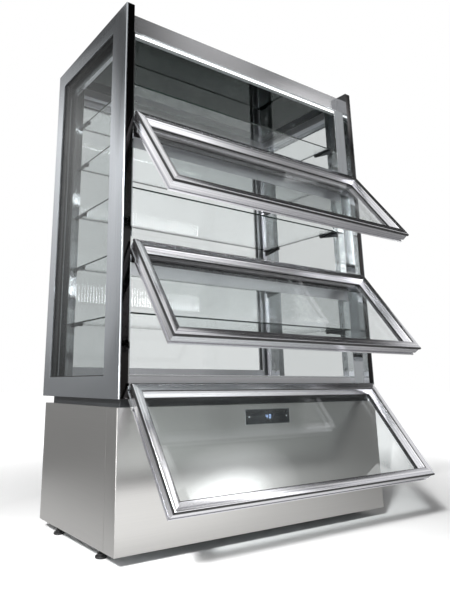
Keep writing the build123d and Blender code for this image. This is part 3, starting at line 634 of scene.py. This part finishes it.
# Moulding round four corners in a plane. A section point is (in from the edge, out of the plane)
def mouldRing(corners, outward, section):
    loops = []
    for n, corner in enumerate(corners):
        ahead = (corners[(n + 1) % 4] - corner).normalized()
        behind = (corners[n - 1] - corner).normalized()
        inward = ahead + behind
        loops.append([corner + inward * reach * mm + outward * out * mm for reach, out in section])
    return rings(loops, closedLoop=True)


# Repeats along paths: a small piece at an even pitch on every path, its X along the path and
# its Z towards a given way
def makeRepeatTree():
    tree = bpy.data.node_groups.new("repeatAlongPaths", "GeometryNodeTree")
    kinds = {
        "Paths": "Geometry", "Piece": "Object", "Pitch": "Float", "Facing": "Vector", "Finish": "Material",
    }
    for name, kind in kinds.items():
        tree.interface.new_socket(name, in_out="INPUT", socket_type="NodeSocket" + kind)
    tree.interface.new_socket("Pieces", in_out="OUTPUT", socket_type="NodeSocketGeometry")
    given = addNode(tree, "NodeGroupInput").outputs
    curves = addNode(tree, "GeometryNodeMeshToCurve", {"Mesh": given["Paths"]})
    spaced = addNode(tree, "GeometryNodeResampleCurve", {
        "Curve": curves.outputs["Curve"], "Length": given["Pitch"],
    }, mode="LENGTH")
    tangent = addNode(tree, "GeometryNodeInputTangent").outputs["Tangent"]
    along = addNode(tree, "FunctionNodeAlignRotationToVector", {"Vector": tangent}, axis="X")
    turnedUp = addNode(tree, "FunctionNodeAlignRotationToVector", {
        "Rotation": along.outputs["Rotation"], "Vector": given["Facing"],
    }, axis="Z", pivot_axis="X")
    source = addNode(tree, "GeometryNodeObjectInfo", {"Object": given["Piece"]})
    placed = addNode(tree, "GeometryNodeInstanceOnPoints", {
        "Points": spaced.outputs["Curve"], "Instance": source.outputs["Geometry"],
        "Rotation": turnedUp.outputs["Rotation"],
    })
    real = addNode(tree, "GeometryNodeRealizeInstances", {"Geometry": placed.outputs["Instances"]})
    done = addNode(tree, "GeometryNodeSetMaterial", {
        "Geometry": real.outputs["Geometry"], "Material": given["Finish"],
    })
    addNode(tree, "NodeGroupOutput", {"Pieces": done.outputs["Geometry"]})
    return tree


repeatTree = makeRepeatTree()


def repeated(pieceMesh, paths, pitch, facing, finish):
    source = bpy.data.objects.new("source", pieceMesh)
    bpy.context.scene.collection.objects.link(source)
    spots = [spot for path in paths for spot in path]
    edges = [(2 * n, 2 * n + 1) for n in range(len(paths))]
    track = bpy.data.meshes.new("paths")
    track.from_pydata(spots, edges, [])
    carrier = bpy.data.objects.new("carrier", track)
    modifier = carrier.modifiers.new("repeat", "NODES")
    modifier.node_group = repeatTree
    values = {"Piece": source, "Pitch": pitch * mm, "Facing": facing, "Finish": finish}
    for item in repeatTree.interface.items_tree:
        if item.name in values:
            modifier[item.identifier] = values[item.name]
    result = collected(carrier)
    bpy.data.objects.remove(source)
    giveGrain(result, 0)
    return result


# Lamps: chips behind the ribbed lens of the head bar, and upright light guides on the backs
# of the bar and the strips, which face the shelves. They show in the rear glass as dashes
lampRow = {
    "pitch": 16.7, "margin": 20, "lensHeight": 10, "lensStep": 3, "opalDepth": 4, "opalLap": 0.5,
    "edge": 0.4,
}
lampChip = {"width": 6, "height": 6.5, "rise": 1.2}
barGuide = {"width": 4, "height": 22, "rise": 3, "below": 0.5}
stripGuide = {"width": 4, "height": 50, "rise": 2.5, "below": 19, "sink": 1}
lensCrown = 1.12
lensSteps = ((1, 0), (1, 0.5), (0.8, 0.9), (0.4, 1))  # how much narrower at how much of the rise


def domedBlock(form):
    half, tall = form["width"] / 2 * mm, form["height"] / 2 * mm
    outline = [(-1, -1), (0, -lensCrown), (1, -1), (1, 1), (0, lensCrown), (-1, 1)]
    loops = []
    for scale, level in lensSteps:
        reach = (tall - half * (1 - scale)) / lensCrown
        loops.append([(x * half * scale, y * reach, level * form["rise"] * mm) for x, y in outline])
    return rings(loops)


barLow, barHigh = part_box("light_bar")
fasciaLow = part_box("fascia")[0]
lensFoot = fasciaLow.z - lampRow["lensHeight"] * mm
chipEnds = [x + lampRow["margin"] * mm * side for x, side in ((barLow.x, 1), (barHigh.x, -1))]
chipDepth = fasciaLow.y + lampRow["lensStep"] * mm
chipSpots = [Vector((x, chipDepth, (lensFoot + fasciaLow.z) / 2)) for x in chipEnds]
barChips = repeated(domedBlock(lampChip), [chipSpots], lampRow["pitch"], -backwards, dimPhosphor)
addPiece("barLamps", barChips, "cabinet")


# The bar's foot is lit along its front only, so its faces are cut where the lit strip ends
def openedBar(mesh):
    form = bmesh.new()
    form.from_mesh(mesh)
    parts = form.verts[:] + form.edges[:] + form.faces[:]
    cut = Vector((0, fasciaLow.y + lampRow["opalDepth"] * mm, 0))
    bmesh.ops.bisect_plane(form, geom=parts, plane_co=cut, plane_no=backwards)
    form.to_mesh(mesh)
    form.free()
    for polygon in mesh.polygons:
        spot = polygon.center
        lit = spot.z < lensFoot + lampRow["opalLap"] * mm and spot.y < cut.y
        polygon.material_index = 0 if lit else 1


lightSolids, stripRows = [], []
for count, faces in enumerate(closedSolids(frame["nodes"]["light_bar"].data)):
    mesh = edgeBroken(mergedSolid(faces), lampRow["edge"])
    low, high = extent(faces)
    if high.z > lensFoot:
        openedBar(mesh)
        guideSpots = [Vector((x, high.y, fasciaLow.z - barGuide["below"] * mm)) for x in chipEnds]
        barGuides = repeated(domedBlock(barGuide), [guideSpots], lampRow["pitch"], backwards, ledPhosphor)
        addPiece("barGuides", barGuides, "cabinet")
    else:
        mesh.polygons.foreach_set("material_index", [1] * len(mesh.polygons))
        ends = (low.x + lampRow["margin"] * mm, high.x - lampRow["margin"] * mm)
        depth, level = high.y - stripGuide["sink"] * mm, high.z - stripGuide["below"] * mm
        stripRows.append([Vector((x, depth, level)) for x in ends])
    giveGrain(mesh, count)
    lightSolids.append(mesh)
lightMesh = joinMeshes("lightBar", lightSolids)
lights = addPiece("lightBar", lightMesh, "cabinet", [opalAcrylic, ribbedAcrylic])
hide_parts("light_bar")
stripGuides = repeated(domedBlock(stripGuide), stripRows, lampRow["pitch"], backwards, ledPhosphor)
addPiece("stripGuides", stripGuides, "cabinet")
print("lamps made")


# Rubber bead round each side window, between the steel and the glass
windowBead = {"section": ((0, 0), (0, 1.8), (1.2, 2.2), (2.6, 1.8), (3.2, 0.8), (3.2, 0)), "lap": 12}


def sideWindow(sign):
    glassLow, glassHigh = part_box("side_glass")
    lap = windowBead["lap"] * mm
    y = (glassLow.y + lap, glassHigh.y - lap)
    z = (glassLow.z + lap, glassHigh.z - lap)
    x = glassLow.x if sign < 0 else glassHigh.x
    return [Vector((x, y[a], z[b])) for a, b in ((0, 0), (1, 0), (1, 1), (0, 1))]


for side, sign in (("Left", -1), ("Right", 1)):
    bead = mouldRing(sideWindow(sign), sideways * sign, windowBead["section"])
    addPiece("windowBead" + side, bead, "cabinet", [epdmRubber])
print("window beads made")


# Black cord in the seam between each flap's frame and its glazing bead, drawn wider than the joint so that
# it also paints the seam's shadow
seamShadowCord = {"section": ((24.5, -0.6), (24.5, 0.3), (26.2, 0.3), (27.8, -2.2), (27.0, -2.7), (25.4, -1.2))}


def flapCorners(flapFrame):
    spots = pointsOf(flapFrame.data)
    middle, ways = longWays(spots, True)
    reach = numpy.ptp((spots - middle) @ ways, axis=0) / 2
    wide, tall, through = [Vector(way * half) for way, half in zip(ways.T, reach)]
    face = through if through.z > 0 else -through
    corners = [Vector(middle) + face + wide * a + tall * b for a, b in ((-1, -1), (1, -1), (1, 1), (-1, 1))]
    return corners, face.normalized()


for flap in flaps:
    flapFrame = frame["nodes"][f"{flap}_flap_frame"]
    corners, face = flapCorners(flapFrame)
    cord = mouldRing(corners, face, seamShadowCord["section"])
    addPiece(flap + "SeamCord", cord, flapFrame["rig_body"], [epdmRubber])
print("seam cords made")


# Screws: button heads with a round recess, along the rear frame, the grille and the roof
screws = {
    "outline": ((3.6, 0), (3.6, 0.5), (3.2, 1.3), (2.2, 2.0), (1.9, 2.0), (1.7, 0.9)), "sides": 12,
    "grille": {"inset": 12, "pitch": 170}, "rearFrame": {"inset": 9, "pitch": 260},
    "roof": {"inset": 14, "pitch": 200},
}


# Paths just inside the four edges of a node's face, whose two axes are given
def faceEdges(node, inset, level, axes):
    low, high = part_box(node)
    first, second = axes
    third = 3 - first - second
    corners = []
    for a, b in ((0, 0), (1, 0), (1, 1), (0, 1)):
        spot = [0, 0, 0]
        spot[first] = (low, high)[a][first] + inset * mm * (1 - 2 * a)
        spot[second] = (low, high)[b][second] + inset * mm * (1 - 2 * b)
        spot[third] = level
        corners.append(Vector(spot))
    return [[corners[n], corners[(n + 1) % 4]] for n in range(4)]


def addScrews(name, paths, pitch, facing):
    heads = repeated(turned(screws["outline"], screws["sides"]), paths, pitch, facing, zincPlated)
    addPiece(name, heads, "cabinet")


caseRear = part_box("base_side_panels")[1].y
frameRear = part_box("rear_frame")[1].y
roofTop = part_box("roof_panel")[1].z
grilleEdges = faceEdges("base_rear_grille", screws["grille"]["inset"], caseRear, (0, 2))
frameEdges = faceEdges("rear_frame", screws["rearFrame"]["inset"], frameRear, (0, 2))
uprightEdges = [path for path in frameEdges if path[0].z != path[1].z]
roofEdges = faceEdges("roof_panel", screws["roof"]["inset"], roofTop, (0, 1))
addScrews("grilleScrews", grilleEdges, screws["grille"]["pitch"], backwards)
addScrews("rearFrameScrews", uprightEdges, screws["rearFrame"]["pitch"], backwards)
addScrews("roofScrews", roofEdges, screws["roof"]["pitch"], upwards)
print("screws made")


# Levelling feet: a rounded pad, a threaded stem and the flange that it screws into
foot = {
    "pad": ((11.4, 0), (17.5, 0), (19, 1.5), (19, 5), (17, 8), (12, 9), (12, 14)), "stem": 8, "thread": 7.2,
    "pitch": 2, "step": 0.2, "flange": 13, "flangeSlope": 0.3, "flangeHeight": 7, "top": 39.5, "sides": 36,
}


def footMesh():
    outline = list(foot["pad"])
    level = outline[-1][1]
    while level + foot["pitch"] < foot["top"] - foot["flangeHeight"]:
        outline += [(foot["thread"], level + foot["step"]), (foot["stem"], level + foot["pitch"] / 2)]
        level += foot["pitch"]
    outline += [(foot["thread"], level), (foot["flange"], level + foot["flangeSlope"])]
    outline += [(foot["flange"], foot["top"])]
    return turned(outline, foot["sides"])


feet = []
for faces in closedSolids(frame["nodes"]["levelling_feet"].data):
    low, high = extent(faces)
    mesh = footMesh()
    mesh.transform(Matrix.Translation(((low.x + high.x) / 2, (low.y + high.y) / 2, 0)))
    feet.append(mesh)
feetMesh = joinMeshes("levellingFeet", feet)
feetPiece = addPiece("levellingFeet", feetMesh, "cabinet", [mouldedNylon])
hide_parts("levelling_feet")
print("feet made")


# Shelf rests: a rounded rubber buffer under the end of each arm
rest = {
    "outline": ((5, 0), (8, 0.8), (9.5, 3), (9.5, 6.5), (8, 8.5), (5, 9.2)), "sides": 20,
    "drop": 12.2, "inwards": 10, "back": 9,
}
rests = []
for faces in closedSolids(frame["nodes"]["shelf_arms"].data):
    low, high = extent(faces)
    tipIsRear = low.y < 0
    y = high.y - rest["back"] * mm if tipIsRear else low.y + rest["back"] * mm
    x = low.x + rest["inwards"] * mm if low.x > 0 else high.x - rest["inwards"] * mm
    mesh = turned(rest["outline"], rest["sides"])
    mesh.transform(Matrix.Translation((x, y, high.z - rest["drop"] * mm)))
    rests.append(mesh)
addPiece("shelfRests", joinMeshes("shelfRests", rests), "cabinet", [epdmRubber])
print("shelf rests made")


# Control: a bright surround, two touch marks and a number in seven-bar figures
control = {
    "surround": ((-1.6, 0), (-1.6, 1.0), (-1.2, 1.4), (-0.2, 1.4), (-0.2, 0)), "halfHeight": 25,
    "mark": ((2.2, -0.1), (2.2, 0.15), (1.2, 0.3)), "markSides": 20, "markInset": 15,
    "figures": "40", "figureHeight": 13, "figureWidth": 7, "figureStep": 16.5, "bar": 1.6, "proud": 0.25,
}
barsOf = {"0": "abcdef", "4": "bcfg"}
barEnds = {
    "a": ((-1, 1), (1, 1)), "b": ((1, 1), (1, 0)), "c": ((1, 0), (1, -1)), "d": ((-1, -1), (1, -1)),
    "e": ((-1, 0), (-1, -1)), "f": ((-1, 1), (-1, 0)), "g": ((-1, 0), (1, 0)),
}


def flatBar(start, end, width, level):
    run = (end - start).normalized()
    side = Vector((-run.z, 0, run.x)) * width / 2
    tip = run * width / 2
    outline = [start, start + tip + side, end - tip + side, end, end - tip - side, start + tip - side]
    loops = [[spot + Vector((0, y, 0)) for spot in outline] for y in (level, level - control["proud"] * mm)]
    return rings(loops)


def figureBars(figure, centre, level):
    half, tall = control["figureWidth"] / 2 * mm, control["figureHeight"] / 2 * mm
    made = []
    for name in barsOf[figure]:
        start, end = [Vector((centre.x + x * half, 0, centre.z + z * tall)) for x, z in barEnds[name]]
        made.append(flatBar(start, end, control["bar"] * mm, level))
    return made


controlLow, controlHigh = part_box("control_panel")
displayLow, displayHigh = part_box("control_display")
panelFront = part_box("base_front_panel")[0].y
controlMiddle = (displayLow.z + displayHigh.z) / 2
glassFoot, glassHead = [controlMiddle + side * control["halfHeight"] * mm for side in (-1, 1)]
glassSpots = (
    (controlLow.x, glassFoot), (controlHigh.x, glassFoot),
    (controlHigh.x, glassHead), (controlLow.x, glassHead),
)
glassCorners = [Vector((x, panelFront, z)) for x, z in glassSpots]
surround = mouldRing(glassCorners, -backwards, control["surround"])
giveGrain(surround, 0)
addPiece("controlSurround", surround, "cabinet", [brightStainless])
marks = []
for sign in (-1, 1):
    mark = turned(control["mark"], control["markSides"])
    mark.transform(Matrix.Rotation(math.radians(90), 4, "X"))
    x = sign * (controlHigh.x - control["markInset"] * mm)
    mark.transform(Matrix.Translation(Vector((x, displayLow.y, controlMiddle))))
    marks.append(mark)
addPiece("touchMarks", joinMeshes("touchMarks", marks), "cabinet", [touchMark])
litBars = []
for count, figure in enumerate(control["figures"]):
    shift = count - (len(control["figures"]) - 1) / 2
    centre = Vector((shift * control["figureStep"] * mm, 0, controlMiddle))
    litBars += figureBars(figure, centre, displayLow.y)
addPiece("displayFigures", joinMeshes("displayFigures", litBars), "cabinet", [displayLight])
print("control made")


# Studio: white floor that keeps the object's shadow, white surroundings and soft lamps. A
# sheet's four corners, upright between two points or level between two corners
def standing(start, end, low, high):
    return (*start, low), (*end, low), (*end, high), (*start, high)


def lying(corner, opposite, level):
    (x, y), (farX, farY) = corner, opposite
    return (x, y, level), (farX, y, level), (farX, farY, level), (x, farY, level)


def viewRays(tree):
    path = addNode(tree, "ShaderNodeLightPath").outputs
    sight = path["Is Camera Ray"]
    for ray in ("Is Glossy Ray", "Is Transmission Ray"):
        either = addNode(tree, "ShaderNodeMath", {0: sight, 1: path[ray]}, operation="MAXIMUM")
        sight = either.outputs["Value"]
    return sight


# The floor turns to plain white between two distances from the object
floorPlan = {"size": 60, "colour": "#efefef", "nearest": 1.1, "farthest": 3.2}
surroundings = {"fill": 0.13}


def makeFloor(plan):
    mesh = bpy.data.meshes.new("floor")
    half = plan["size"] / 2
    mesh.from_pydata(lying((-half, -half), (half, half), 0), [], [(0, 1, 2, 3)])
    floor = bpy.data.objects.new("floor", mesh)
    bpy.context.scene.collection.objects.link(floor)
    material, tree, shader = startMaterial("paintedFloor")
    tree.nodes.remove(shader)
    place = addNode(tree, "ShaderNodeTexCoord")
    away = addNode(tree, "ShaderNodeVectorMath", {0: place.outputs["Object"]}, operation="LENGTH")
    lift = addNode(tree, "ShaderNodeMapRange", {
        "Value": away.outputs["Value"], "From Min": plan["nearest"], "From Max": plan["farthest"],
    })
    lifted = {0: lift.outputs["Result"], 1: viewRays(tree)}
    shown = addNode(tree, "ShaderNodeMath", lifted, operation="MULTIPLY")
    glow = addNode(tree, "ShaderNodeEmission", {"Strength": shown.outputs["Value"]})
    paint = addNode(tree, "ShaderNodeBsdfDiffuse", {"Color": linear(plan["colour"])})
    both = addNode(tree, "ShaderNodeAddShader", {0: paint.outputs["BSDF"], 1: glow.outputs["Emission"]})
    feed(tree, tree.nodes["Material Output"], {"Surface": both.outputs["Shader"]})
    mesh.materials.append(material)


def makeWorld(level):
    world = bpy.data.worlds.new("studio")
    bpy.context.scene.world = world
    world.use_nodes = True
    tree = world.node_tree
    tree.nodes.clear()
    shown = addNode(tree, "ShaderNodeMapRange", {"Value": viewRays(tree), "To Min": level, "To Max": 1})
    light = addNode(tree, "ShaderNodeBackground", {"Color": white, "Strength": shown.outputs["Result"]})
    addNode(tree, "ShaderNodeOutputWorld", {"Surface": light.outputs["Background"]})


makeFloor(floorPlan)
makeWorld(surroundings["fill"])


# Cards that only mirrors see: flat sheets whose tone changes along one way, or away from a
# bright middle. The lying ones are just clear of the floor
clearOfFloor = 0.006
overhead = 3.1


cards = {
    "leftRearCard": {
        "corners": standing((-2.6, 0.79), (-0.4, 1.96), 0, 3.8), "way": "Z", "reach": (0, 3.8),
        "tones": (
            (0, 0.3), (0.15, 0.36), (0.22, 0.62), (0.45, 1.05), (0.58, 1.3), (0.69, 0.5), (0.78, 0.15),
            (1, 0.08),
        ),
    },
    "leftFloorCard": {
        "corners": lying((-2.6, -0.6), (-0.64, 2.0), clearOfFloor), "way": "X", "reach": (-2.0, -0.6),
        "tones": ((0, 0.28), (0.45, 0.36), (0.65, 0.5), (0.85, 0.75), (1, 0.8)),
    },
    "frontFloorCard": {
        "corners": lying((-1.2, -0.2), (9.0, -9.0), clearOfFloor),
        "middle": (-0.6, -1.6, clearOfFloor), "spread": (2.6, 2.2, 1),
        "tones": ((0, 0.3), (0.22, 0.54), (0.4, 1.0), (0.52, 1.6)),
    },
    "frontCard": {
        "corners": standing((-0.8, -2.9), (1.4, -2.9), 1.7, 5), "way": "Z", "reach": (1.7, 5),
        "tones": ((0, 1.1), (0.22, 0.4), (0.4, 0.06), (1, 0.04)),
    },
    "rightFrontCard": {
        "corners": standing((4.6, -2.0), (1.0, -4.8), 0, 5), "way": "Z", "reach": (0, 5),
        "tones": ((0, 0.3), (0.1, 0.32), (0.2, 0.55), (0.32, 1.1), (0.5, 1.1), (0.75, 0.75), (1, 0.65)),
    },
    "overheadCard": {
        "corners": [(x, y, overhead) for x, y in ((-0.5, 1.2), (2.15, -2.6), (5.0, -2.6), (4.2, 1.2))],
        "middle": (2.3, -2.25, overhead), "spread": (1.3, 0.85, 1),
        "tones": ((0, 0.04), (0.2, 0.08), (0.5, 1.3), (0.8, 5.5)),
    },
}


def cardPaper(name, card):
    material, tree, shader = startMaterial(name)
    tree.nodes.remove(shader)
    place = addNode(tree, "ShaderNodeTexCoord")
    if "way" in card:
        spot = addNode(tree, "ShaderNodeSeparateXYZ", {"Vector": place.outputs["Object"]})
        start, end = card["reach"]
        along = addNode(tree, "ShaderNodeMapRange", {
            "Value": spot.outputs[card["way"]], "From Min": start, "From Max": end,
        })
        factor = along.outputs["Result"]
    else:
        spot = place.outputs["Object"]
        for operation, amount in (("SUBTRACT", card["middle"]), ("DIVIDE", card["spread"])):
            moved = addNode(tree, "ShaderNodeVectorMath", {0: spot, 1: amount}, operation=operation)
            spot = moved.outputs["Vector"]
        ball = addNode(tree, "ShaderNodeTexGradient", {"Vector": spot}, gradient_type="SPHERICAL")
        factor = ball.outputs["Fac"]
    ramp = addNode(tree, "ShaderNodeValToRGB", {"Fac": factor})
    while len(ramp.color_ramp.elements) < len(card["tones"]):
        ramp.color_ramp.elements.new(0.5)
    for element, (position, tone) in zip(ramp.color_ramp.elements, card["tones"]):
        element.position = position
        element.color = (tone, tone, tone, 1)
    glow = addNode(tree, "ShaderNodeEmission", {"Color": ramp.outputs["Color"], "Strength": 1})
    feed(tree, tree.nodes["Material Output"], {"Surface": glow.outputs["Emission"]})
    return material


def makeCard(name, card):
    mesh = bpy.data.meshes.new(name)
    mesh.from_pydata(card["corners"], [], [(0, 1, 2, 3)])
    mesh.materials.append(cardPaper(name + "Paper", card))
    sheet = bpy.data.objects.new(name, mesh)
    bpy.context.scene.collection.objects.link(sheet)
    for ray in ("camera", "diffuse", "transmission", "volume_scatter", "shadow"):
        setattr(sheet, "visible_" + ray, False)


for name, card in cards.items():
    makeCard(name, card)

# The key comes from the left, low enough to lay the flaps' shadows on the floor. The shine
# lamp and the edge lamp are the ones that metal mirrors
lamps = {
    "keyLamp": {
        "spot": (-2.95, -2.3, 2.1), "aim": (0, -0.2, 0.3), "size": (0.3, 0.3),
        "power": 250, "mirrored": False,
    },
    "shineLamp": {
        "spot": (-3.1, -2.4, 2.3), "aim": (0, -0.2, 0.5), "size": (0.9, 0.9),
        "power": 130, "mirrored": True,
    },
    "edgeLamp": {
        "spot": (-3.0, -1.8, 1.4), "aim": (-0.6, -0.2, 1.1), "size": (0.6, 2.6),
        "power": 14, "mirrored": True,
    },
    "frontLamp": {
        "spot": (2.4, -3.2, 2.6), "aim": (0.4, 0, 0.6), "size": (1.4, 1.4),
        "power": 12, "mirrored": False,
    },
}


def makeLamp(name, lamp):
    data = bpy.data.lights.new(name, "AREA")
    data.shape = "RECTANGLE"
    data.size, data.size_y = lamp["size"]
    data.energy = lamp["power"]
    thing = bpy.data.objects.new(name, data)
    thing.location = lamp["spot"]
    thing.rotation_euler = (Vector(lamp["aim"]) - Vector(lamp["spot"])).to_track_quat("-Z", "Y").to_euler()
    bpy.context.scene.collection.objects.link(thing)
    thing.visible_camera = False
    thing.visible_glossy = lamp["mirrored"]


for name, lamp in lamps.items():
    makeLamp(name, lamp)
print("studio made")
